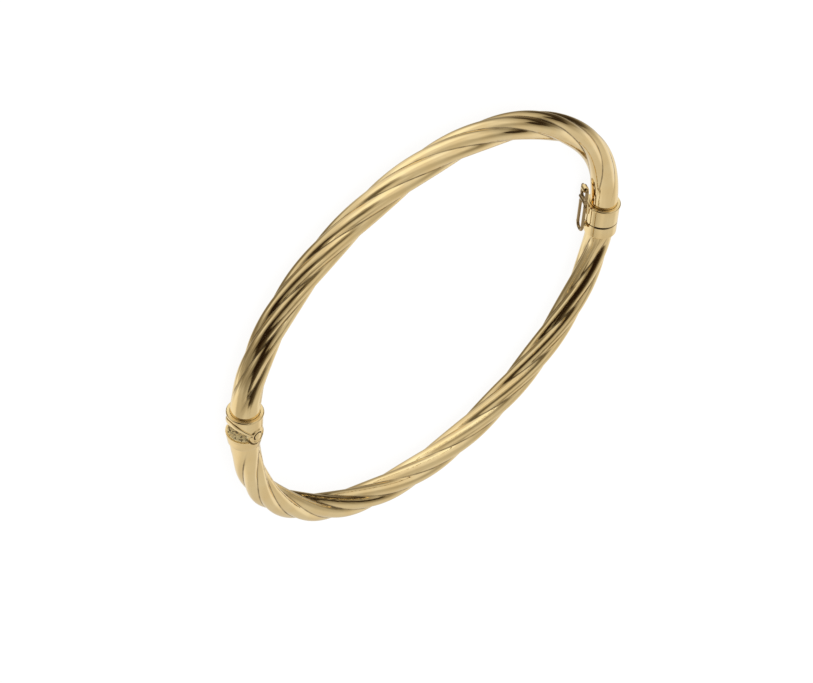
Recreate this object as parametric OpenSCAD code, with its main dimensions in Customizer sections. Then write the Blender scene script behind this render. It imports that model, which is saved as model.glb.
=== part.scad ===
// Hinged oval bangle of twisted hollow tube.
// Two fluted half tubes, one hinge, one box clasp with a tongue, and a figure-eight safety catch.
// The bangle lies on its side: the hinge is at +X, the clasp at -X, the wrist opening runs along Z.

/* [Bangle] */
// Inside width, from the clasp to the hinge
inside_w = 62.4; // [50:0.1:75]
// Inside depth, across the two half tubes
inside_d = 54.4; // [44:0.1:66]
// Outside diameter of the tube over its flutes
tube_d = 3.9; // [3.4:0.05:5]

/* [Twisted tube] */
// Number of rounded flutes round the tube
flutes = 5; // [3:1:9]
// Length of tube in which a flute goes once round
twist_pitch = 44; // [30:0.5:90]
// Depth of the valleys between the flutes
flute_depth = 0.34; // [0.1:0.02:0.5]
// Wall of the hollow tube
tube_wall = 0.3; // [0.2:0.05:0.6]
// Diameter of the plain round ends that enter the collars
tube_end_d = 3.6; // [3:0.05:4.4]
// Length that the plain ends go into the longer collars
seat_len = 1.0; // [0.6:0.1:1.2]
// Length over which the plain end swells to the full diameter
swell_len = 1.6; // [1:0.1:4]
// Length over which the front half's flutes deepen from the hinge
front_hinge_fade = 11; // [3:0.5:20]
// Length over which the front half's flutes deepen from the clasp
front_clasp_fade = 16; // [3:0.5:20]
// Length over which the rear half's flutes deepen from the clasp
rear_clasp_fade = 4; // [3:0.5:20]
// Length over which the rear half's flutes deepen from the hinge
rear_hinge_fade = 7; // [3:0.5:20]
// Valley angle in the middle of the front half, from outward towards up
front_valley = 44; // [0:0.5:72]
// Valley angle in the middle of the rear half, from outward towards up
rear_valley = 44; // [0:0.5:72]

/* [Collars] */
// Room between a tube end and its collar, on the radius
seat_gap = 0.2; // [0.15:0.01:0.3]
// Gap between the end of a tube and the plate behind it
end_gap = 0.1; // [0.08:0.01:0.2]
// Wall of the collars
collar_wall = 0.35; // [0.25:0.05:0.5]
// Height of the raised lip at a collar's rim
lip_h = 0.12; // [0.05:0.01:0.2]
// Width of the raised lip
lip_w = 0.45; // [0.3:0.05:0.8]
// Length of the front hinge collar
hinge_front_len = 3.3; // [3:0.1:5]
// Length of the rear hinge collar
hinge_rear_len = 2.1; // [1.9:0.1:3]
// Length of the clasp box
box_len = 3.1; // [3:0.1:5]
// Length of the rear clasp collar
clasp_rear_len = 2.0; // [1.7:0.1:3]
// Thickness of the plates that close the collars
plate_t = 0.4; // [0.3:0.05:0.6]

/* [Hinge] */
// How far the bangle opens, in degrees
open_angle = 38; // [20:1:45]
// Diameter of the hinge pin
pin_d = 0.7; // [0.5:0.05:0.9]
// Outside diameter of the hinge knuckles
knuckle_d = 1.9; // [1.6:0.05:2]
// Distance of the pin from the collar's middle, towards the wrist
pin_inset = 0.4; // [0.3:0.05:0.8]
// Distance of the pin from the joint, towards the front
pin_back = 0.25; // [0.2:0.05:0.6]
// Width of the rear half's middle knuckle
middle_w = 1.4; // [1:0.1:2]
// Running gap between the hinge's moving faces
hinge_gap = 0.1; // [0.06:0.01:0.2]
// Room round the pin in the middle knuckle, on the radius
pin_gap = 0.04; // [0.02:0.01:0.08]
// Thickness of the rolled plate, from the knuckle's surface to its seam
roll_t = 0.24; // [0.15:0.01:0.3]
// Width of the seam in the rolled knuckle
seam_w = 0.16; // [0.08:0.01:0.2]
// Depth of that seam, from the pin's end inwards
seam_depth = 0.45; // [0.2:0.05:0.8]

/* [Clasp] */
// Gap between the clasp's two faces when closed
clasp_gap = 0.16; // [0.08:0.01:0.3]
// Length of the tongue beyond its face
tongue_len = 1.7; // [1:0.1:2.2]
// Width of the tongue
tongue_w = 2.4; // [1.6:0.1:3]
// Thickness of the tongue
tongue_t = 1.1; // [0.8:0.1:1.6]
// Room round the tongue in its slot
tongue_gap = 0.15; // [0.1:0.01:0.3]

/* [Safety catch] */
// Where the catch sits: degrees below the wrist side of the clasp
catch_angle = 25; // [0:1:28]
// Distance of the catch's wire from the middle of the collars
catch_r = 3.15; // [3:0.05:4]
// Diameter of the catch's wire
catch_wire = 0.45; // [0.4:0.05:0.6]
// Outside width of the figure eight
catch_w = 2.1; // [2:0.1:3]
// Distance from the clasp's joint to the waist of the eight
waist_y = 4.1; // [4:0.1:5]
// Distance from the clasp's joint to the catch's pivot
pivot_y = 6.1; // [5.8:0.1:7]
// Diameter of the barrel at the waist
barrel_d = 0.7; // [0.6:0.05:0.8]
// Width of the pivot lug
lug_w = 0.9; // [0.6:0.05:1.2]
// Thickness of the lug's arm
lug_t = 0.2; // [0.15:0.01:0.3]
// Outside diameter of the lug's eye
eye_d = 0.9; // [0.8:0.02:1.1]
// Diameter of the stud that the catch closes over
stud_d = 0.8; // [0.7:0.05:1.2]
// Gap between moving parts of the catch
catch_gap = 0.06; // [0.03:0.01:0.15]

/* [Hidden] */
$fn = 48;
eps = 0.01;

GOLD = [0.86, 0.74, 0.52];
PALE = [0.90, 0.79, 0.58];
DEEP = [0.74, 0.62, 0.40];

// Centre line of the tube: an ellipse that the bending left uneven. Clock angle 0 is the clasp,
// 90 the middle of the rear half, 180 the hinge and 270 the middle of the front half.
path_a = (inside_w + tube_d)/2;
path_b = (inside_d + tube_d)/2;
// Where the tube stands off the ellipse: clock angle, degrees to either side, and how far
// outward in shares of the inside width
BENDS = [[50, 32, -0.004], [103, 40, 0.005], [173, 26, -0.007], [216, 32, 0.007], [337, 28, 0.009]];
function bump(x) = pow(max(0, 1 - x*x), 2);
function bulge(t) = inside_w
    *[for (b = BENDS) bump((((t - b[0] + 540) % 360) - 180)/b[1])]*[for (b = BENDS) b[2]];
function outward(t) = let (v = [-cos(t)/path_a, sin(t)/path_b, 0]) v/norm(v);
function at(t) = [-path_a*cos(t), path_b*sin(t), 0] + bulge(t)*outward(t);
// Clock angle at a distance y from a joint, on the rear half for y > 0
function by_clasp(y) = asin(y/path_b);
function by_hinge(y) = 180 - asin(y/path_b);

tube_r = tube_d/2;
end_r = tube_end_d/2;
bore_r = end_r + seat_gap;
collar_r = bore_r + collar_wall;
// The middle of the bangle stands this high when its lips rest on a table
rest_h = collar_r + lip_h;

// The front knuckles are let into the rear collar, whose plate ends at this distance from the joint
knuckle_r = knuckle_d/2;
recess_y = knuckle_r + hinge_gap - pin_back;
rear_plate_end = recess_y + plate_t;

// Where each tube end stops inside its collar, measured from the joint
front_hinge_end = hinge_front_len - seat_len;
rear_hinge_end = rear_plate_end + end_gap;
box_end = box_len - seat_len;
clasp_rear_end = clasp_gap/2 + plate_t + end_gap;
// The collars of one joint share an axis, at the mean distance of the tube where it enters them
// and where it ends
function mean_reach(ts) = [for (t = ts) abs(at(t).x)]*[for (t = ts) 1/len(ts)];
hinge_x = mean_reach([for (y = [-hinge_front_len, -front_hinge_end, rear_hinge_end, hinge_rear_len])
    by_hinge(y)]);
clasp_x = mean_reach([for (y = [-box_len, -box_end, clasp_rear_end, clasp_rear_len]) by_clasp(y)]);

// Half tubes
ring_steps = 48;
bore_steps = 24;
lobe_points = 6;
outer_points = flutes*lobe_points;
bore_points = outer_points/2;

// A smooth step from 0 to 1
function smooth(x) = let (u = min(1, max(0, x))) u*u*(3 - 2*u);
// Clock angles of the rings, from t0 to t1
function clock(t0, t1, n) = [for (i = [0:n]) t0 + (t1 - t0)*i/n];
// Length along the centre line up to each ring
function lengths(ts) = [for (i = 0, s = 0; i < len(ts);
    s = s + (i + 1 < len(ts) ? norm(at(ts[i + 1]) - at(ts[i])) : 0), i = i + 1) s];
// Depth of the valleys at a length s of all_s, where fades holds the lengths of both fades
function valley(s, all_s, fades) = flute_depth
    *smooth((s - seat_len)/fades[0])*smooth((all_s - s - seat_len)/fades[1]);
// Outer radius at a distance from the nearer tube end
function swell(d) = end_r + (tube_r - end_r)*smooth((d - seat_len)/swell_len);
// Place of point j of n across its flute: 0 on the crest, 1 in the valley on either side
function across(j, n) = abs(2*((j*flutes/n) % 1) - 1);

// One ring of n points, thinned by a wall
function ring(t, s, all_s, n, phase, fades, wall) =
    let (o = outward(t), turn = phase + 360*(s - all_s/2)/twist_pitch,
         depth = valley(s, all_s, fades), full = swell(min(s, all_s - s)) - wall)
    [for (j = [0:n - 1])
        let (a = turn + 360*j/n, r = full - depth*pow(across(j, n), 2))
        at(t) + r*(cos(a)*o + sin(a)*[0, 0, 1])];

function skin(n, m, first, flip) = [for (i = [0:m - 1]) for (j = [0:n - 1])
    let (a = first + i*n + j, b = first + i*n + (j + 1) % n, c = b + n, d = a + n)
    each flip ? [[a, b, c], [a, c, d]] : [[a, d, c], [a, c, b]]];
// The ring-shaped end of the tube, between 2n outer points and n bore points
function cap(n, outer, inner, flip) = [for (k = [0:n - 1])
    let (a = outer + 2*k, b = a + 1, c = outer + (2*k + 2) % (2*n),
         p = inner + k, q = inner + (k + 1) % n)
    each flip ? [[b, a, p], [c, b, q], [q, b, p]] : [[a, b, p], [b, c, q], [b, q, p]]];

module half_tube(t0, t1, phase, fades) {
    outer_t = clock(t0, t1, ring_steps);
    bore_t = clock(t0, t1, bore_steps);
    outer_s = lengths(outer_t);
    bore_s = lengths(bore_t);
    outer_all = outer_s[ring_steps];
    bore_all = bore_s[bore_steps];
    outer = [for (i = [0:ring_steps])
        each ring(outer_t[i], outer_s[i], outer_all, outer_points, phase, fades, 0)];
    bore = [for (i = [0:bore_steps])
        each ring(bore_t[i], bore_s[i], bore_all, bore_points, phase, fades, tube_wall)];
    first = len(outer);
    polyhedron(concat(outer, bore), concat(
        skin(outer_points, ring_steps, 0, false),
        skin(bore_points, bore_steps, first, true),
        cap(bore_points, 0, first, false),
        cap(bore_points, first - outer_points, first + bore_steps*bore_points, true)));
}

module rear_tube() {
    color(GOLD) translate([0, 0, rest_h])
        half_tube(by_clasp(clasp_rear_end), by_hinge(rear_hinge_end), rear_valley,
            [rear_clasp_fade, rear_hinge_fade]);
}

module front_tube() {
    color(GOLD) translate([0, 0, rest_h])
        half_tube(by_hinge(-front_hinge_end), 360 + by_clasp(-box_end), front_valley,
            [front_hinge_fade, front_clasp_fade]);
}

// Collars are turned about Y. A profile's y is the distance from the joint, to the front or rear.
module at_hinge() { translate([hinge_x, 0, rest_h]) children(); }
module at_clasp() { translate([-clasp_x, 0, rest_h]) children(); }
module turned_front() { rotate([90, 0, 0]) rotate_extrude() children(); }
module turned_rear() { rotate([-90, 0, 0]) rotate_extrude() children(); }
module front_core(r, y0, y1) { translate([0, -y0, 0]) rotate([90, 0, 0]) cylinder(r = r, h = y1 - y0); }
module rear_core(r, y0, y1) { translate([0, y0, 0]) rotate([-90, 0, 0]) cylinder(r = r, h = y1 - y0); }

// Plain collar with a raised, rounded lip at its rim
module lipped_profile(y0, y1) {
    translate([0, y0]) square([collar_r, y1 - y0]);
    translate([0, y1 - lip_w]) square([collar_r + lip_h - lip_w/4, lip_w]);
    translate([collar_r + lip_h - lip_w/2, y1 - lip_w/2]) circle(d = lip_w);
}

// Hinge
pin_x = -pin_inset;
pin_y = -pin_back;
// Distance of the front half's end faces from the pin
face_y = pin_back - hinge_gap/2;
// Half the pin's length: its ends stop just under the collar's round surface
pin_half = sqrt(pow(collar_r, 2) - pow(pin_inset + pin_d/2, 2));
far = 4*collar_r;

module upright(h) { linear_extrude(height = h, center = true) children(); }
module at_pin() { translate([pin_x, pin_y]) children(); }

// End of the front collar seen along the pin: flat on the wrist side, round the knuckle,
// then cut back by the opening angle on the outer side
module front_end(back) {
    at_pin() {
        circle(r = knuckle_r - back);
        translate([-far, -far]) square([far, far + face_y - back]);
        rotate(-open_angle) translate([0, -far]) square([far, far + face_y - back]);
    }
}

// Space that the rear half's neck sweeps as the bangle opens
neck_out = 0.2*knuckle_d;
module neck_sweep() {
    at_pin() {
        circle(r = knuckle_r + hinge_gap);
        for (a = [0, -open_angle]) rotate(a)
            translate([-far, 0]) square([far + neck_out + hinge_gap, far]);
    }
}

// Seam left where the end plate is rolled round the pin: where it starts and how far it turns
seam_start = -147;
seam_turn = 195;
module roll_seam() {
    translate([pin_x, pin_y, 0]) for (side = [0, 1]) mirror([0, 0, side])
        translate([0, 0, pin_half - seam_depth]) rotate(seam_start) rotate_extrude(angle = seam_turn)
            translate([knuckle_r - roll_t - seam_w, 0]) square([seam_w, collar_r]);
}

module front_hinge_collar() {
    color(PALE) at_hinge() difference() {
        intersection() {
            turned_front() lipped_profile(0, hinge_front_len);
            upright(far) front_end(0);
        }
        intersection() {
            front_core(bore_r, pin_back + knuckle_r + hinge_gap + plate_t, hinge_front_len + 1);
            upright(far) front_end(plate_t);
        }
        upright(middle_w + 2*hinge_gap) neck_sweep();
        roll_seam();
        upright(far) at_pin() circle(d = pin_d);
    }
}

module rear_hinge_collar() {
    shoulder_y = hinge_gap/2 + plate_t;
    color(GOLD) at_hinge() {
        difference() {
            turned_rear() polygon([[0, shoulder_y], [bore_r, shoulder_y], [bore_r, hinge_gap/2],
                [collar_r + lip_h/2, hinge_gap/2], [collar_r + lip_h, hinge_gap/2 + lip_w/3],
                [collar_r + lip_h, hinge_gap/2 + lip_w], [collar_r, hinge_gap/2 + 2*lip_w],
                [collar_r - 0.3*collar_wall, 0.75*hinge_rear_len],
                [bore_r + 0.4*collar_wall, hinge_rear_len], [0, hinge_rear_len]]);
            rear_core(bore_r, rear_plate_end, hinge_rear_len + 1);
            upright(far) at_pin() circle(r = knuckle_r + hinge_gap);
        }
        difference() {
            upright(middle_w) at_pin() {
                circle(r = knuckle_r);
                translate([-knuckle_r, 0]) square([knuckle_r + neck_out,
                    pin_back + recess_y + plate_t/2]);
            }
            upright(far) at_pin() circle(d = pin_d + 2*pin_gap);
        }
    }
}

module hinge_pin() {
    color(DEEP) at_hinge() upright(2*pin_half) at_pin() circle(d = pin_d - 2*eps);
}

// Clasp
module clasp_box() {
    color(PALE) at_clasp() {
        difference() {
            turned_front() lipped_profile(clasp_gap/2, box_len);
            front_core(bore_r, clasp_gap/2 + plate_t, box_len + 1);
            cube([tongue_t + 2*tongue_gap, 4*plate_t + clasp_gap, tongue_w + 2*tongue_gap], center = true);
        }
        on_catch_side() pivot_lug();
    }
}

module clasp_collar() {
    round_r = 0.5*collar_wall;
    color(PALE) at_clasp() {
        difference() {
            turned_rear() {
                translate([0, clasp_gap/2]) square([collar_r, clasp_rear_len - round_r - clasp_gap/2]);
                translate([0, clasp_gap/2]) square([collar_r - round_r, clasp_rear_len - clasp_gap/2]);
                translate([collar_r - round_r, clasp_rear_len - round_r]) circle(r = round_r);
            }
            rear_core(bore_r, clasp_gap/2 + plate_t, clasp_rear_len + 1);
        }
        translate([-tongue_t/2, -tongue_len, -tongue_w/2])
            cube([tongue_t, tongue_len + clasp_gap/2 + plate_t/2, tongue_w]);
        on_catch_side() stud();
    }
}

// Safety catch. On the catch side X points away from the collars, Z along the catch's pivot.
module on_catch_side() { rotate([0, catch_angle, 0]) children(); }
wire_r = catch_wire/2;
loop_r = (catch_w - catch_wire)/2;
stud_y = clasp_gap/2 + 0.6*stud_d;
stud_top = catch_r - wire_r - catch_gap;
// The loop's far end closes round the stud
loop_end = stud_y + stud_d/2 + catch_gap + wire_r;
// Beads of solder where the straight wires meet the loops, a little thicker than the wire
bead_rise = 0.02;
bead_r = wire_r + bead_rise;
bead_len = wire_r/2;

module pivot_lug() {
    low = collar_r - collar_wall/2;
    rim = box_len + lip_w;
    difference() {
        linear_extrude(height = lug_w, center = true) {
            polygon([[low, -box_len/2], [collar_r + lug_t, -box_len/2], [collar_r + lip_h + lug_t, -rim],
                [catch_r - eye_d/2 + lug_t, -pivot_y + eye_d/2], [catch_r - eye_d/2, -pivot_y],
                [collar_r + lip_h, -rim], [low, -box_len + eps]]);
            translate([catch_r, -pivot_y]) circle(d = eye_d);
        }
        translate([catch_r, -pivot_y, -lug_w]) cylinder(r = wire_r + catch_gap, h = 2*lug_w);
    }
}

// Half ball on the rear collar, just under the catch
module stud() {
    translate([stud_top - stud_d/2, stud_y, 0]) sphere(d = stud_d);
}

module wire_along(y0, y1, z) {
    translate([0, y0, z]) rotate([-90, 0, 0]) cylinder(r = wire_r, h = y1 - y0);
}

module bead(y, z) {
    translate([0, y, z]) rotate([90, 0, 0]) cylinder(r = bead_r, h = bead_len, center = true);
}

module half_loop(y, turn) {
    translate([0, y, 0]) rotate([0, 90, 0]) rotate(turn) rotate_extrude(angle = 180)
        translate([loop_r, 0]) circle(r = wire_r);
}

module safety_catch() {
    color(DEEP) at_clasp() on_catch_side() translate([catch_r, 0, 0]) {
        for (z = [-loop_r, loop_r]) {
            wire_along(-waist_y + loop_r, loop_end - loop_r, z);
            wire_along(-pivot_y, -waist_y - loop_r, z);
            for (y = [-waist_y - loop_r, -waist_y + loop_r, loop_end - loop_r]) bead(y, z);
            translate([0, -pivot_y, z]) sphere(r = wire_r);
        }
        half_loop(loop_end - loop_r, 0);
        half_loop(-waist_y + loop_r, 180);
        half_loop(-waist_y - loop_r, 0);
        translate([0, -pivot_y, -loop_r]) cylinder(r = wire_r, h = 2*loop_r);
        translate([0, -waist_y, -loop_r - wire_r/2]) cylinder(d = barrel_d, h = 2*loop_r + wire_r);
    }
}

front_tube();
rear_tube();
front_hinge_collar();
rear_hinge_collar();
hinge_pin();
clasp_box();
clasp_collar();
safety_catch();
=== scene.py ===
import math

import bpy
import numpy as np
from mathutils import Matrix, Vector


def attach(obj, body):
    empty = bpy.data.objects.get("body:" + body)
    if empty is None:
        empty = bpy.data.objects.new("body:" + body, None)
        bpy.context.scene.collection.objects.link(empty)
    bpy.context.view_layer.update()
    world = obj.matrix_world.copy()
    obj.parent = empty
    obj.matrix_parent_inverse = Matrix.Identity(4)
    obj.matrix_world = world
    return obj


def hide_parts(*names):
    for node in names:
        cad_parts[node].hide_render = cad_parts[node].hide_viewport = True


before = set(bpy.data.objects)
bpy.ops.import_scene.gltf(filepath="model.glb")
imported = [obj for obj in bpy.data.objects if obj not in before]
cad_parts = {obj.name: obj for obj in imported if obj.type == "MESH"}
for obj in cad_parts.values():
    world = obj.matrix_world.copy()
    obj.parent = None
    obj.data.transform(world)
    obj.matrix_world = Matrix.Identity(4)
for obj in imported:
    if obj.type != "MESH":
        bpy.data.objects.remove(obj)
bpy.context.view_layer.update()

MM = 0.001
TAU = 2 * math.pi

# Sizes that the CAD model has too, in millimetres
INSIDE_W = 62.4
TUBE_R = 1.95
TUBE_WALL = 0.3
PATH_A = 33.15
PATH_B = 29.15
REST_H = 2.47
SEAT_LEN = 1.0
SWELL_LEN = 1.6
FLUTES = 5
HINGE_X = 32.7067
CLASP_X = 33.1684
COLLAR_R = 2.35
KNUCKLE_R = 0.95
OPEN_ANGLE = math.radians(38)
# The pin, from the collars' axis and from the joint
PIN = (-0.4, -0.25)
# Where the tube stands off the ellipse: clock angle, degrees to either side, share of the width
BENDS = [(50, 32, -0.004), (103, 40, 0.005), (173, 26, -0.007), (216, 32, 0.007), (337, 28, 0.009)]


# ---------------------------------------------------------------- camera
def make_camera():
    """The photograph's viewing angle, as a long lens from above the floor."""
    right = Vector((-0.73229144, -0.06292984, 0.67807749))
    down = Vector((0.43384969, 0.72438321, 0.53576433))
    ahead = Vector((-0.52490351, 0.68651934, -0.50315753))
    eye = Vector((196.87928656, -250.36162229, 184.72618628 + REST_H)) * MM
    data = bpy.data.cameras.new("camera")
    data.lens = 121.085
    data.sensor_width = 36.0
    data.clip_start = 0.01
    data.clip_end = 10.0
    camera = bpy.data.objects.new("camera", data)
    bpy.context.scene.collection.objects.link(camera)
    turn = Matrix((right, -down, -ahead)).transposed()
    camera.matrix_world = Matrix.Translation(eye) @ turn.to_4x4()
    bpy.context.scene.camera = camera


# ---------------------------------------------------------------- meshes
def link_mesh(name, verts, faces):
    """An object with a mesh from points in millimetres."""
    mesh = bpy.data.meshes.new(name)
    mesh.from_pydata((np.asarray(verts, float) * MM).tolist(), [], faces)
    obj = bpy.data.objects.new(name, mesh)
    bpy.context.scene.collection.objects.link(obj)
    return obj


def shade_smooth(mesh):
    mesh.polygons.foreach_set("use_smooth", [True] * len(mesh.polygons))


def new_object(name, verts, faces, body):
    """A smooth mesh object from points in millimetres, riding on a body."""
    obj = link_mesh(name, verts, faces)
    obj.data.validate()
    shade_smooth(obj.data)
    obj.data.update()
    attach(obj, body)
    return obj


def add_values(obj, name, values):
    """A number for each point of an object's mesh."""
    obj.data.attributes.new(name, "FLOAT", "POINT").data.foreach_set("value", values)
    return obj


def add_vectors(obj, name, vectors):
    """A vector for each point of an object's mesh."""
    obj.data.attributes.new(name, "FLOAT_VECTOR", "POINT").data.foreach_set("vector", vectors)


def crease(obj, degrees):
    """Sharp edges where faces meet at more than an angle."""
    obj.data.set_sharp_from_angle(angle=math.radians(degrees))
    return obj


def smooth_step(x):
    u = np.clip(x, 0.0, 1.0)
    return u * u * (3 - 2 * u)


# ---------------------------------------------------------------- twisted tubes
# The skins' plain ends fill the collars' bores, which the CAD model's thinner ends don't
TUBE_END_R = 1.96
# How much closer the points stand in the valleys
CROWDING = 0.6
# How far across a flute the painted shade and residue begin, over what part of it, and how soon
# along the tube
GROOVE_FROM = 0.86
GROOVE_FADE = 0.14
GROOVE_GAIN = 2.5
# Length of tube for one unit of the drawn lines
FLOW_LEN = 14


def outward(t):
    v = np.stack([-np.cos(t) / PATH_A, np.sin(t) / PATH_B, 0 * t], -1)
    return v / np.linalg.norm(v, axis=-1, keepdims=True)


def centre_line(t):
    """Middle of the tube at clock angles t: an ellipse with a few uneven bends."""
    bulge = 0 * t
    for middle, reach, share in BENDS:
        x = ((np.degrees(t) - middle + 540) % 360 - 180) / reach
        bulge = bulge + INSIDE_W * share * np.clip(1 - x * x, 0, None) ** 2
    line = np.stack([-PATH_A * np.cos(t), PATH_B * np.sin(t), 0 * t], -1)
    return line + bulge[:, None] * outward(t)


def rings(half, steps, points, wall):
    """Rings of a half tube's surface, with how much groove each point is and its flow.

    The arrays are (steps + 1, points, 3), (steps + 1, points) and (steps + 1, points, 3)."""
    t = np.linspace(half["from"], half["to"], steps + 1)
    line = centre_line(t)
    s = np.concatenate([[0], np.cumsum(np.linalg.norm(np.diff(line, axis=0), axis=1))])
    from_end = np.minimum(s, s[-1] - s)
    full = TUBE_END_R + (TUBE_R - TUBE_END_R) * smooth_step((from_end - SEAT_LEN) / SWELL_LEN)
    depth = (half["depth"] * smooth_step((s - SEAT_LEN) / half["fades"][0])
             * smooth_step((s[-1] - s - SEAT_LEN) / half["fades"][1]))
    middle = s - s[-1] / 2
    turn = (np.radians(half["valley"]) + TAU * middle / half["pitch"]
            + half["drift"] * (middle / (s[-1] / 2)) ** 2)
    place = np.arange(points) / points * FLUTES
    place = (place - CROWDING * np.sin(TAU * place) / TAU) / FLUTES
    # across a flute: 1 in the valley, 0 on the crest, with the valley's floor rounded
    lobe = (place * FLUTES) % 1
    lobe = lobe + half["lean"] * np.sin(TAU * lobe) / TAU
    across = np.abs(2 * lobe - 1)
    to_floor = 1 - across
    across = 1 - (np.hypot(to_floor, half["round"]) - half["round"] * (1 - to_floor))
    across = np.clip(across, 0, 1) ** half["power"]
    angle = turn[:, None] + TAU * place[None]
    r = full[:, None] - depth[:, None] * across[None] - wall
    ring = line[:, None] + r[..., None] * (np.cos(angle)[..., None] * outward(t)[:, None]
                                           + np.sin(angle)[..., None] * np.array([0, 0, 1.0]))
    ring[..., 2] += REST_H
    # where the valleys are painted dark, as shade and residue
    groove = (np.minimum(1, GROOVE_GAIN * depth[:, None] / half["depth"])
              * smooth_step((across[None] - GROOVE_FROM) / GROOVE_FADE))
    round_the_tube = TAU * place[None] + 0 * s[:, None]
    flow = np.stack([TUBE_R * np.cos(round_the_tube), TUBE_R * np.sin(round_the_tube),
                     s[:, None] / FLOW_LEN + 0 * round_the_tube], -1)
    return ring, groove, flow


def skin_faces(first, steps, points, flip):
    faces = []
    for i in range(steps):
        for j in range(points):
            a = first + i * points + j
            b = first + i * points + (j + 1) % points
            quad = (a, b, b + points, a + points)
            faces.append(quad if flip else quad[::-1])
    return faces


def half_tube(name, body, half):
    """A hollow twisted half tube, with its bore and its two ring-shaped ends."""
    steps, bore_steps, points = 490, 60, 175
    outer, groove, flow = rings(half, steps, points, 0.0)
    outer = outer.reshape(-1, 3)
    bore = rings(half, bore_steps, points, TUBE_WALL)[0].reshape(-1, 3)
    first = len(outer)
    last_outer = steps * points
    last_bore = first + bore_steps * points
    faces = skin_faces(0, steps, points, True) + skin_faces(first, bore_steps, points, False)
    for j in range(points):
        k = (j + 1) % points
        faces.append((j, first + j, first + k, k))
        faces.append((last_outer + k, last_bore + k, last_bore + j, last_outer + j))
    obj = new_object(name, np.concatenate([outer, bore]), faces, body)
    add_values(obj, "groove", np.concatenate([groove.ravel(), np.zeros(len(bore))]))
    add_vectors(obj, "flow", np.concatenate([flow.reshape(-1, 3), bore]).ravel())
    return obj


def clock(y):
    """Clock angle at a distance from a joint."""
    return math.asin(y / PATH_B)


# From one end inside its collar to the other, clockwise from the clasp
FRONT = {"from": math.pi + clock(2.3), "to": 2 * math.pi - clock(2.1), "valley": 45.4,
         "pitch": 44.4, "drift": -0.226, "depth": 0.343, "fades": (9.7, 15.1),
         "power": 2.18, "round": 0.12, "lean": -0.01}
REAR = {"from": clock(0.58), "to": math.pi - clock(1.3), "valley": 44.3,
        "pitch": 44.5, "drift": -0.089, "depth": 0.356, "fades": (3.8, 6.3),
        "power": 2.155, "round": 0.15, "lean": -0.045}


# ---------------------------------------------------------------- hinge
C, S = math.cos(OPEN_ANGLE), math.sin(OPEN_ANGLE)
# The roll round the pin as it shows on the collar's skin: its middle and its radius
ROLL = (-0.2, -0.42)
ROLL_R = 1.2
# Its C-shaped seam: radius, half the cut's width and half the width that is painted dark, as shade
# and residue
SEAM_R = 0.60
SEAM_HALF = 0.09
SHADED_HALF = 0.105
# How high its dome, the boss in its middle and its round rim stand, and how wide they are
SKIN_LIFT = 0.004
DOME_H, DOME_SLOPE = 0.10, 0.35
BOSS_H, BOSS_R = 0.05, 0.48
RIM_H, RIM_W = 0.12, 0.16
# How deep the roll's disc goes into the collar
ROLL_UNDER_R = 1.75
# The end plate's edge: how far it stands in front of the cut, its width and how much wider it
# is in the middle, how far it swells, and how deep its back is tucked under the skin
PLATE_OUT = 0.48
PLATE_WIDTH, PLATE_WIDER = 0.46, 0.24
PLATE_SWELL = 0.12
PLATE_TUCK = 0.06
# The end plate's inner side: its x, how far it stands in front of the cut, and where the edge ends
PLATE_INNER_X = 0.60
PLATE_INNER_OUT = 0.1
PLATE_REACH_X = 0.62
# The rear rim is cut back to this distance from the joint, on the outer side of this x
RIM_BACK = 0.32
RIM_CUT_X = 0.25
# Round the pin: the room cut through the rear collar for the knuckles, the middle knuckle's
# neck, its bore and half its height
WAY_R = 1.05
NECK_OUT = 0.38
NECK_END = 1.0
BORE_R = 0.39
KNUCKLE_HALF = 0.7
# Room round the roll in its recess, and how far from the middle the recess starts
ROLL_ROOM = 0.08
RECESS_FROM = 1.3
# Beyond every collar
FAR = 3

# Pairs of radius and distance from the joint
REAR_PROFILE = [
    (0.001, 0.45), (1.98, 0.45), (2.0, 0.43), (2.0, 0.07), (2.03, 0.05), (2.38, 0.05),
    (2.43, 0.10), (2.46, 0.17), (2.475, 0.27), (2.47, 0.38), (2.45, 0.50), (2.41, 0.63),
    (2.37, 0.78), (2.35, 0.95), (2.31, 1.25), (2.245, 1.575), (2.16, 2.0), (2.12, 2.08),
    (2.06, 2.1), (2.0, 2.06), (2.0, 1.2), (0.001, 1.2)]
STOP_PROFILE = [
    (0.001, -0.05), (2.05, -0.05), (2.12, -0.03), (2.15, 0.01), (2.15, 0.10), (2.12, 0.12),
    (0.001, 0.12)]


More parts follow.
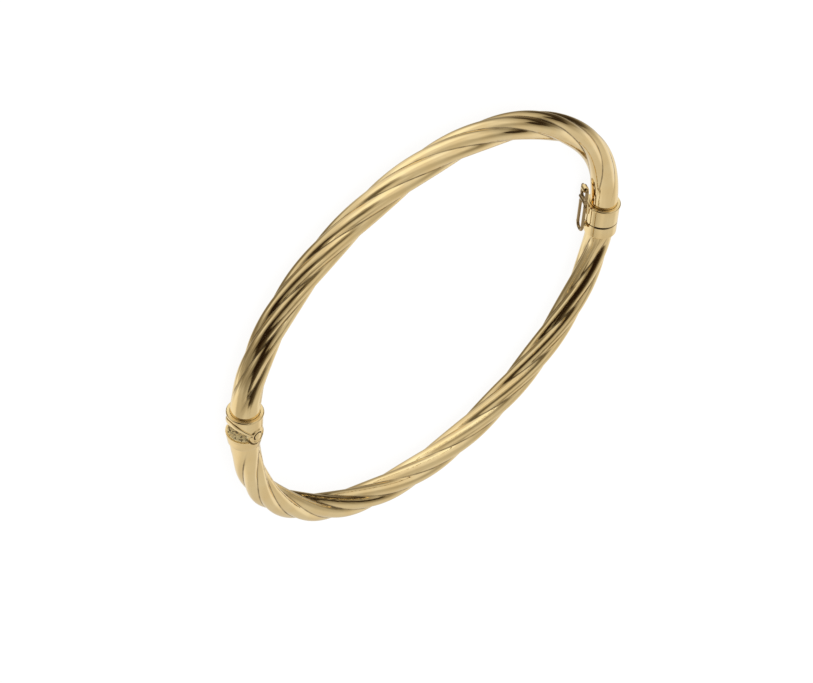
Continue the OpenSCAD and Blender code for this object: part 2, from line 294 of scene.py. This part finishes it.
def rolled_end():
    """Both ends of the roll: a disc on the collar's skin with a round rim and a C-shaped seam."""
    rings_at = np.concatenate([
        np.linspace(0.06, 0.46, 8), [0.485, 0.50, 0.515, 0.68, 0.695, 0.71],
        np.linspace(0.73, 0.86, 5), np.linspace(0.88, ROLL_R, 14)])
    turns = 120
    angle = TAU * np.arange(turns) / turns
    degree = (np.degrees(angle) + 180) % 360 - 180
    # the seam runs from -172 to 52 degrees and closes at both ends
    seam = smooth_step((degree + 172) / 14) * smooth_step((52 - degree) / 14)
    # the plate's edge comes in from the cut, runs round the roll and closes at its top
    rim = smooth_step((degree + 40) / 25) + smooth_step((-128 - degree) / 40)
    verts, faces, groove = [], [], []
    # on the side that it lies on, the roll is worn flatter
    for side, proud in ((1, 1.0), (-1, 0.6)):
        first = len(verts)
        for rho in rings_at:
            x = ROLL[0] + rho * np.cos(angle)
            y = ROLL[1] + rho * np.sin(angle)
            in_seam = 1 if abs(rho - SEAM_R) < SEAM_HALF else 0
            # the seam is painted dark there, as shade and residue
            shaded = 1 if abs(rho - SEAM_R) < SHADED_HALF else 0
            dome = DOME_H * proud * smooth_step((ROLL_R - rho) / DOME_SLOPE)
            high = COLLAR_R + SKIN_LIFT + dome * (1 - seam * in_seam)
            high += BOSS_H * proud * max(0, 1 - (rho / BOSS_R) ** 2)
            across = (rho - (ROLL_R - RIM_W)) / RIM_W
            high += RIM_H * proud * np.clip(rim, 0, 1) * math.sqrt(max(0, 1 - across ** 2))
            z = side * np.sqrt(high ** 2 - x ** 2)
            verts += list(zip(x + HINGE_X, y, z + REST_H))
            groove += list(seam * shaded)
        under = side * np.sqrt(ROLL_UNDER_R ** 2 - x ** 2) + REST_H
        verts += list(zip(x + HINGE_X, y, under))
        groove += [0.0] * turns
        for i in range(len(rings_at)):
            for j in range(turns):
                k = (j + 1) % turns
                q = (first + i * turns + j, first + (i + 1) * turns + j,
                     first + (i + 1) * turns + k, first + i * turns + k)
                faces.append(q if side == 1 else q[::-1])
        faces.append(tuple(range(first, first + turns))[::side])
        last = first + len(rings_at) * turns
        faces.append(tuple(range(last, last + turns))[::-side])
    obj = new_object("rolled_end", verts, faces, "front")
    return crease(add_values(obj, "groove", groove), 50)


def on_cut(x, f):
    """y at x on a plane f in front of the front collar's slanting cut."""
    u = (x - PIN[0] - f * S) / C
    return PIN[1] - u * S + f * C


def end_plate():
    """Plate on the front collar's slanting cut, with a rounded edge that stands out all round."""
    reach = math.acos(PLATE_REACH_X / COLLAR_R)
    phi = np.linspace(-reach, reach, 121)
    width = PLATE_WIDTH + PLATE_WIDER * np.cos(phi) ** 2
    rows = []
    for k in np.linspace(0, 1, 15):
        f = PLATE_OUT - width * (1 - k)
        swell = PLATE_SWELL * math.sqrt(max(0, 1 - (2 * k - 1) ** 2))
        r = COLLAR_R - (PLATE_TUCK if k == 0 else 0.0) + swell
        x, z = r * np.cos(phi), r * np.sin(phi)
        rows.append(np.stack([x, on_cut(x, f), z], 1))
    r = COLLAR_R
    for k in np.linspace(0, 1, 6)[1:]:
        x = r * np.cos(phi) * (1 - k) + PLATE_INNER_X * k
        rows.append(np.stack([x, on_cut(x, PLATE_OUT), r * np.sin(phi)], 1))
    back = on_cut(PLATE_INNER_X, PLATE_INNER_OUT)
    rows.append(np.stack([PLATE_INNER_X + 0 * phi, back + 0 * phi, r * np.sin(phi)], 1))
    verts = np.concatenate(rows) + np.array([HINGE_X, 0, REST_H])
    n, m = len(phi), len(rows)
    faces = [(i * n + j, (i + 1) % m * n + j, (i + 1) % m * n + j + 1, i * n + j + 1)
             for i in range(m) for j in range(n - 1)]
    faces += [tuple(i * n for i in range(m))[::-1], tuple(i * n + n - 1 for i in range(m))]
    return crease(new_object("end_plate", verts, faces, "front"), 40)


def prism(name, outline, low, high):
    """An upright prism between two heights from a closed outline."""
    n = len(outline)
    verts = [(x, y, z + REST_H) for z in (low, high) for x, y in outline]
    faces = [tuple(range(n))[::-1], tuple(range(n, 2 * n))]
    faces += [(j, (j + 1) % n, n + (j + 1) % n, n + j) for j in range(n)]
    return link_mesh(name, verts, faces)


def disc(x, y, r, turn=0.0):
    """Outline of a circle, with a point every 4 degrees."""
    around = np.radians(np.arange(0, 360, 4) + turn)
    return [(x + r * math.cos(a), y + r * math.sin(a)) for a in around]


def turned(name, axis_x, profile):
    """A solid of the rear half turned round a collar's axis, from (radius, y) pairs."""
    turns, n = 144, len(profile)
    verts, faces = [], []
    for j in range(turns):
        a = TAU * j / turns
        verts += [(axis_x + r * math.cos(a), y, REST_H + r * math.sin(a)) for r, y in profile]
        k = (j + 1) % turns
        faces += [(j * n + i, j * n + i + 1, k * n + i + 1, k * n + i) for i in range(n - 1)]
    faces += [tuple(j * n for j in range(turns)),
              tuple(j * n + n - 1 for j in range(turns))[::-1]]
    return new_object(name, verts, faces, "rear")


def carve(obj, steps):
    """Puts an object's mesh through boolean steps, and removes the shapes that they used."""
    for operation, tool in steps:
        cut = obj.modifiers.new("cut", "BOOLEAN")
        cut.operation = operation
        cut.solver = "EXACT"
        cut.object = tool
    bpy.context.view_layer.update()
    shaped = obj.evaluated_get(bpy.context.evaluated_depsgraph_get())
    mesh = bpy.data.meshes.new_from_object(shaped)
    obj.modifiers.clear()
    obj.data = mesh
    for _, tool in steps:
        bpy.data.objects.remove(tool, do_unlink=True)
    return mesh


def knuckle_outline(pin):
    """Outline of the middle knuckle with the neck that joins it to the plate behind.

    Known fault: the point at 0 degrees stands before the one at 184, so
    the outline crosses itself and the neck lacks a wedge on the wrist side."""
    around = disc(*pin, KNUCKLE_R)
    neck = [(pin[0] + NECK_OUT, NECK_END), (pin[0] - KNUCKLE_R, NECK_END)]
    # from 4 to 64 degrees, the neck, the point at 0 and from 184 to 356 degrees
    return around[1:17] + neck + around[:1] + around[46:]


def rear_joint():
    """Rear hinge collar: lip, wall, end plate and knuckle, its rim cut back for the front plate
    and recessed for the roll."""
    obj = turned("rear_joint", HINGE_X, REAR_PROFILE)
    pin = (HINGE_X + PIN[0], PIN[1])
    left, right = HINGE_X + RIM_CUT_X, HINGE_X + FAR
    box = [(left, -1), (right, -1), (right, RIM_BACK), (left, RIM_BACK)]
    steps = [("DIFFERENCE", prism("way", disc(*pin, WAY_R), -FAR, FAR)),
             ("DIFFERENCE", prism("rim_cut", box, -FAR, FAR))]
    dx, dy = ROLL[0] - PIN[0], ROLL[1] - PIN[1]
    for turn in (0.0, OPEN_ANGLE / 2, OPEN_ANGLE):
        x = pin[0] + dx * math.cos(turn) - dy * math.sin(turn)
        y = pin[1] + dx * math.sin(turn) + dy * math.cos(turn)
        recess = disc(x, y, ROLL_R + ROLL_ROOM, turn * 30)
        for low, high in ((RECESS_FROM, FAR), (-FAR, -RECESS_FROM)):
            steps.append(("DIFFERENCE", prism("roll_cut", recess, low, high)))
    steps.append(("UNION", prism("knuckle", knuckle_outline(pin), -KNUCKLE_HALF, KNUCKLE_HALF)))
    steps.append(("DIFFERENCE", prism("bore", disc(*pin, BORE_R, 2), -1, 1)))
    mesh = carve(obj, steps)
    mesh.name = "rear_joint"
    shade_smooth(mesh)
    crease(obj, 30)
    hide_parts("rear_hinge_collar")
    return obj


# ---------------------------------------------------------------- materials
GOLD = (0.93, 0.76, 0.45)
# Painted shade: the safety catch is drawn in a darker copy of the gold
SHADED_GOLD = (0.40, 0.30, 0.17)
# What the colour drifts towards
DEEPER = (0.97, 0.93, 0.86)
# Colour of the painted shade in crevices, grooves and seams, and of the dark residue in the
# grooves
SHADE_AND_RESIDUE = (0.10, 0.06, 0.03, 1)
# How near another surface has to be for the painted shade, in metres
SHADE_REACH = 0.0005
# Soldered and unpolished metal under the hinge collars' skin
DULL = (0.80, 0.70, 0.42, 1)
DULL_METALLIC = 0.25
# How much rougher than polished metal it all is
DULL_ROUGHER = 0.34
SHADE_AND_RESIDUE_ROUGHER = 0.45
FILED_ROUGHER = 0.30
DRAWN_ROUGHER = 0.03


class Tree:
    """Short ways to add and link the nodes of a material or world.

    Every value is a node's output, which is linked, or a plain number or tuple, which is set."""

    def __init__(self, tree):
        self.nodes, self.links = tree.nodes, tree.links

    def put(self, socket, value):
        if isinstance(value, bpy.types.NodeSocket):
            self.links.new(value, socket)
        else:
            socket.default_value = value

    def add(self, kind, **values):
        node = self.nodes.new("ShaderNode" + kind)
        for name, value in values.items():
            self.put(node.inputs[name.replace("_", " ")], value)
        return node

    def operate(self, kind, operation, values):
        node = self.nodes.new("ShaderNode" + kind)
        node.operation = operation
        for socket, value in zip(node.inputs, values):
            self.put(socket, value)
        return node

    def math(self, operation, *values):
        return self.operate("Math", operation, values).outputs["Value"]

    def vector(self, operation, *values):
        return self.operate("VectorMath", operation, values).outputs["Vector"]

    def measure(self, operation, *values):
        """A number from vectors, such as a length."""
        return self.operate("VectorMath", operation, values).outputs["Value"]

    def part(self, vector, axis):
        return self.add("SeparateXYZ", Vector=vector).outputs[axis]

    def noise(self, where, scale, detail):
        return self.add("TexNoise", Vector=where, Scale=scale, Detail=detail).outputs["Fac"]

    def attribute(self, name, output):
        node = self.nodes.new("ShaderNodeAttribute")
        node.attribute_name = name
        return node.outputs[output]

    def spread(self, value, low, high, to_low, to_high, curve="LINEAR"):
        """A value carried from one range to another, and held at both ends."""
        node = self.nodes.new("ShaderNodeMapRange")
        node.interpolation_type = curve
        names = ("Value", "From Min", "From Max", "To Min", "To Max")
        for name, given in zip(names, (value, low, high, to_low, to_high)):
            self.put(node.inputs[name], given)
        return node.outputs["Result"]

    def mixed(self, kind, factor, a, b):
        """Mix of two colours, kind RGBA, or of two numbers, kind FLOAT."""
        node = self.nodes.new("ShaderNodeMix")
        node.data_type = kind
        self.put(node.inputs["Factor"], factor)
        socket_type = "RGBA" if kind == "RGBA" else "VALUE"
        for key, value in (("A", a), ("B", b)):
            named = [i for i in node.inputs if i.name == key and i.type == socket_type]
            self.put(named[0], value)
        return [o for o in node.outputs if o.type == socket_type][0]


def inner_part(tree, where, axis_x):
    """1 under a hinge collar's skin between its two ends, 0 elsewhere."""
    moved = tree.vector("SUBTRACT", where, (axis_x, 0, REST_H * MM))
    from_axis = tree.measure("LENGTH", tree.vector("MULTIPLY", moved, (1, 0, 1)))
    under = tree.spread(from_axis, (COLLAR_R - 0.22) * MM, (COLLAR_R - 0.12) * MM, 1.0, 0.0)
    along = tree.part(where, "Y")
    ahead = tree.spread(along, -2.7 * MM, -2.5 * MM, 0.0, 1.0)
    behind = tree.spread(along, 1.0 * MM, 1.15 * MM, 1.0, 0.0)
    return tree.math("MULTIPLY", under, tree.math("MULTIPLY", ahead, behind))


def clasp_joint_shade(tree, where):
    """Painted shade in the clasp's joint, most of it on the upper inner side."""
    moved = tree.vector("SUBTRACT", where, (-CLASP_X * MM, 0, REST_H * MM))
    from_joint = tree.math("ABSOLUTE", tree.part(moved, "Y"))
    near = tree.spread(from_joint, 0.13 * MM, 0.20 * MM, 1.0, 0.0)
    across = tree.measure("DOT_PRODUCT", moved, (-0.73, 0, 0.68))
    begins = tree.spread(across, -1.15 * MM, -1.0 * MM, 0.0, 1.0)
    ends = tree.spread(across, 0.2 * MM, 1.6 * MM, 1.0, 0.0)
    return tree.math("MULTIPLY", near, tree.math("MULTIPLY", begins, ends))


def gold(name, colour, rough, lining=None, drawn=False, dull_inside=None, dark_joint=False):
    """Polished gold, slightly uneven, darkened by painted shade and residue in grooves and seams.

    lining is how dark the marked grooves are painted, as shade and residue, at least and at
    most. drawn adds the lines along the flutes. dull_inside is the x of a collar's axis, in
    metres, and leaves everything under the collar's skin as it was soldered. dark_joint paints
    shade into the clasp's joint."""
    mat = bpy.data.materials.new(name)
    mat.use_nodes = True
    tree = Tree(mat.node_tree)
    shader = mat.node_tree.nodes["Principled BSDF"]
    shader.inputs["Metallic"].default_value = 1.0
    where = tree.add("TexCoord").outputs["Object"]

    # colour drifts a little over a few millimetres
    deep = tuple(c * k for c, k in zip(colour, DEEPER))
    drift = tree.spread(tree.noise(where, 260, 3), 0.38, 0.62, 0.0, 1.0)
    tint = tree.mixed("RGBA", drift, (*colour, 1), (*deep, 1))

    # painted shade: darker wherever another surface is near, in grooves, seams and where parts
    # meet
    open_air = tree.add("AmbientOcclusion", Distance=SHADE_REACH)
    open_air.samples = 6
    shade_and_residue = tree.spread(open_air.outputs["AO"], 0.05, 0.40, 0.75, 0.0)
    if dull_inside is not None:
        inside = inner_part(tree, where, dull_inside)
        shade_and_residue = tree.math("MULTIPLY", shade_and_residue, tree.spread(inside, 0.0, 1.0, 1.0, 0.15))
        spots = tree.spread(tree.noise(where, 2600, 2), 0.52, 0.60, 0.0, 0.75)
        shade_and_residue = tree.math("MAXIMUM", shade_and_residue, tree.math("MULTIPLY", inside, spots))
    # painted shade in the clasp's joint
    if dark_joint:
        shade_and_residue = tree.math("MAXIMUM", shade_and_residue, clasp_joint_shade(tree, where))
    # painted shade and residue in the marked grooves and seams
    if lining:
        uneven = tree.spread(tree.noise(where, 500, 4), 0.35, 0.65, *lining)
        held = tree.math("MULTIPLY", tree.attribute("groove", "Fac"), uneven)
        shade_and_residue = tree.math("MAXIMUM", shade_and_residue, held)

    # fine polishing marks, and the waves that polishing leaves
    stretched = tree.add("Mapping", Vector=where, Scale=(1.0, 0.22, 1.0)).outputs["Vector"]
    fine = tree.spread(tree.noise(stretched, 2600, 5), 0.35, 0.65, rough * 0.7, rough * 1.5)
    relief = tree.math("ADD", tree.math("MULTIPLY", tree.noise(where, 420, 2), 0.5),
                       tree.math("MULTIPLY", tree.noise(where, 3400, 4), 0.06))
    if drawn:
        # lines that the twisting drew along the flutes
        lines = tree.noise(tree.attribute("flow", "Vector"), 3.2, 4)
        relief = tree.math("ADD", relief, tree.math("MULTIPLY", lines, 3.0))
        fine = tree.math("ADD", fine, tree.spread(lines, 0.4, 0.7, 0.0, DRAWN_ROUGHER))
    if dull_inside is not None:
        blotch = tree.spread(tree.noise(where, 1500, 4), 0.4, 0.6, 0.55, 1.0)
        tint = tree.mixed("RGBA", tree.math("MULTIPLY", inside, blotch), tint, DULL)
        fine = tree.math("ADD", fine, tree.math("MULTIPLY", inside, DULL_ROUGHER))
        metallic = tree.spread(inside, 0.0, 1.0, 1.0, DULL_METALLIC)
        tree.put(shader.inputs["Metallic"], metallic)
    if not drawn:
        # the faces that end a collar are filed and not buffed
        normal = tree.add("NewGeometry").outputs["True Normal"]
        facing = tree.math("ABSOLUTE", tree.part(normal, "Y"))
        fine = tree.math("ADD", fine, tree.spread(facing, 0.90, 0.98, 0.0, FILED_ROUGHER))
    fine = tree.math("ADD", fine, tree.math("MULTIPLY", shade_and_residue, SHADE_AND_RESIDUE_ROUGHER))
    bump = tree.add("Bump", Strength=0.5, Distance=0.00001, Height=relief)
    # the base colour carries the painted shade and residue
    tree.put(shader.inputs["Base Color"], tree.mixed("RGBA", shade_and_residue, tint, SHADE_AND_RESIDUE))
    tree.put(shader.inputs["Roughness"], fine)
    tree.put(shader.inputs["Normal"], bump.outputs["Normal"])
    return mat


def dress(obj, mat):
    obj.data.materials.clear()
    obj.data.materials.append(mat)


# ---------------------------------------------------------------- studio
# Soft patches of the studio that polished metal mirrors, laid over one another:
# direction as azimuth and elevation, radius in degrees, brightness
STUDIO = [
    (-108, -11, 52, 0.75), (89, 0, 64, 0.73), (-130, 31, 36, 0.69), (19, -69, 59, 0.76),
    (-54, -40, 31, 0.68), (-29, 90, 44, 0.60), (106, 17, 54, 0.65), (-114, -59, 23, 0.70),
    (-82, 19, 14, 0.49), (-75, 37, 17, 0.26), (-43, 22, 19, 0.12), (-10, 14, 20, 0.05),
    (2, 36, 12, 0.04), (14, 50, 14, 0.05), (40, 58, 16, 0.11), (71, 65, 15, 0.18),
    (103, 65, 13, 0.44), (-178, 25, 11, 0.10), (179, 2, 16, 0.09), (-175, -15, 15, 0.15),
    (6, -5, 19, 0.40), (10, -36, 15, 0.42), (14, -52, 8, 0.30), (87, -82, 12, 0.29),
    (124, -65, 12, 0.46), (13, -77, 28, 0.32), (-102, 79, 14, 0.66), (-48, 64, 7, 0.74),
    (57, 30, 13, 0.67), (32, -2, 16, 0.58), (148, 4, 27, 0.71), (-107, -15, 24, 0.88),
]
# The level where no patch reaches
STUDIO_BASE = 0.30
# Where a patch fades, and over how much to either side, in shares of its radius;
# patches below this brightness have the narrow fade
FADE_AT = 0.92
NARROW_FADE, WIDE_FADE = 0.22, 0.45
DARK_BELOW = 0.2
# How bright and what colour each level of the patches shows, and the brightest of them
STUDIO_TONE = [
    (0.02, (0.014, 0.006, 0.003)), (0.08, (0.024, 0.014, 0.007)), (0.15, (0.064, 0.047, 0.028)),
    (0.25, (0.142, 0.120, 0.084)), (0.40, (0.300, 0.264, 0.202)), (0.60, (0.574, 0.536, 0.462)),
    (0.67, (0.715, 0.673, 0.595)), (0.70, (0.870, 0.824, 0.738)), (0.78, (1.020, 1.000, 0.930)),
    (0.86, (1.110, 1.120, 1.020)), (0.92, (1.170, 1.220, 1.100))]
STUDIO_MAX = 1.22


def make_studio():
    """White soft light everywhere; mirrored in metal, it has darker and brighter patches."""
    world = bpy.data.worlds.new("studio")
    bpy.context.scene.world = world
    world.use_nodes = True
    world.node_tree.nodes.clear()
    tree = Tree(world.node_tree)
    direction = tree.add("TexCoord").outputs["Generated"]
    level = STUDIO_BASE
    for azimuth, elevation, radius, bright in STUDIO:
        a, e = math.radians(azimuth), math.radians(elevation)
        towards = (math.cos(e) * math.cos(a), math.cos(e) * math.sin(a), math.sin(e))
        angle = tree.math("ARCCOSINE", tree.measure("DOT_PRODUCT", direction, towards))
        fade = NARROW_FADE if bright < DARK_BELOW else WIDE_FADE
        inner = math.radians((FADE_AT - fade) * radius)
        outer = math.radians((FADE_AT + fade) * radius)
        patch = tree.spread(angle, inner, outer, 1.0, 0.0, "SMOOTHSTEP")
        level = tree.mixed("FLOAT", patch, level, bright)
    tone = tree.add("ValToRGB", Fac=level)
    stops = tone.color_ramp.elements
    while len(stops) < len(STUDIO_TONE):
        stops.new(0.5)
    for stop, (place, colour) in zip(stops, STUDIO_TONE):
        stop.position = place
        stop.color = (*(c / STUDIO_MAX for c in colour), 1)
    mirrored = tree.add("Background", Color=tone.outputs["Color"], Strength=STUDIO_MAX)
    plain = tree.add("Background", Color=(1, 1, 1, 1), Strength=1.0)
    both = tree.add("MixShader", Fac=tree.add("LightPath").outputs["Is Glossy Ray"])
    tree.put(both.inputs[1], plain.outputs["Background"])
    tree.put(both.inputs[2], mirrored.outputs["Background"])
    tree.add("OutputWorld", Surface=both.outputs["Shader"])


def make_floor():
    """A floor that looks as white as the background and isn't mirrored in the metal."""
    bpy.ops.mesh.primitive_plane_add(size=6)
    floor = bpy.context.object
    floor.name = "floor"
    floor.visible_glossy = False
    mat = bpy.data.materials.new("floor")
    mat.use_nodes = True
    shader = mat.node_tree.nodes["Principled BSDF"]
    shader.inputs["Base Color"].default_value = (0.13, 0.13, 0.13, 1)
    shader.inputs["Roughness"].default_value = 0.7
    shader.inputs["Specular IOR Level"].default_value = 0.0
    shader.inputs["Emission Color"].default_value = (1, 1, 1, 1)
    shader.inputs["Emission Strength"].default_value = 0.91
    floor.data.materials.append(mat)


make_camera()
make_studio()
make_floor()
bpy.context.scene.view_settings.view_transform = "Standard"

twisted = gold("twisted_gold", GOLD, 0.035, lining=(0.4, 0.85), drawn=True)
joint = gold("joint_gold", GOLD, 0.05, lining=(0.9, 1.0), dull_inside=HINGE_X * MM)
plain = gold("collar_gold", GOLD, 0.05, dark_joint=True)
# the safety catch's darker gold is painted shade
dark = gold("catch_gold", SHADED_GOLD, 0.12)
front = half_tube("front_skin", "front", FRONT)
rear = half_tube("rear_skin", "rear", REAR)
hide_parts("front_tube")
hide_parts("rear_tube")
for piece in (front, rear):
    dress(piece, twisted)
for piece in (rolled_end(), end_plate(), rear_joint()):
    dress(piece, joint)
# a disc in the clasp's gap, so that light shows only at its very edge; the joint's painted shade
# darkens it too
stop = crease(turned("stop_plate", -CLASP_X, STOP_PROFILE), 35)
dress(stop, plain)
for node in ("clasp_box", "clasp_collar", "hinge_pin"):
    dress(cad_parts[node], plain)
dress(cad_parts["front_hinge_collar"], joint)
dress(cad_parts["safety_catch"], dark)
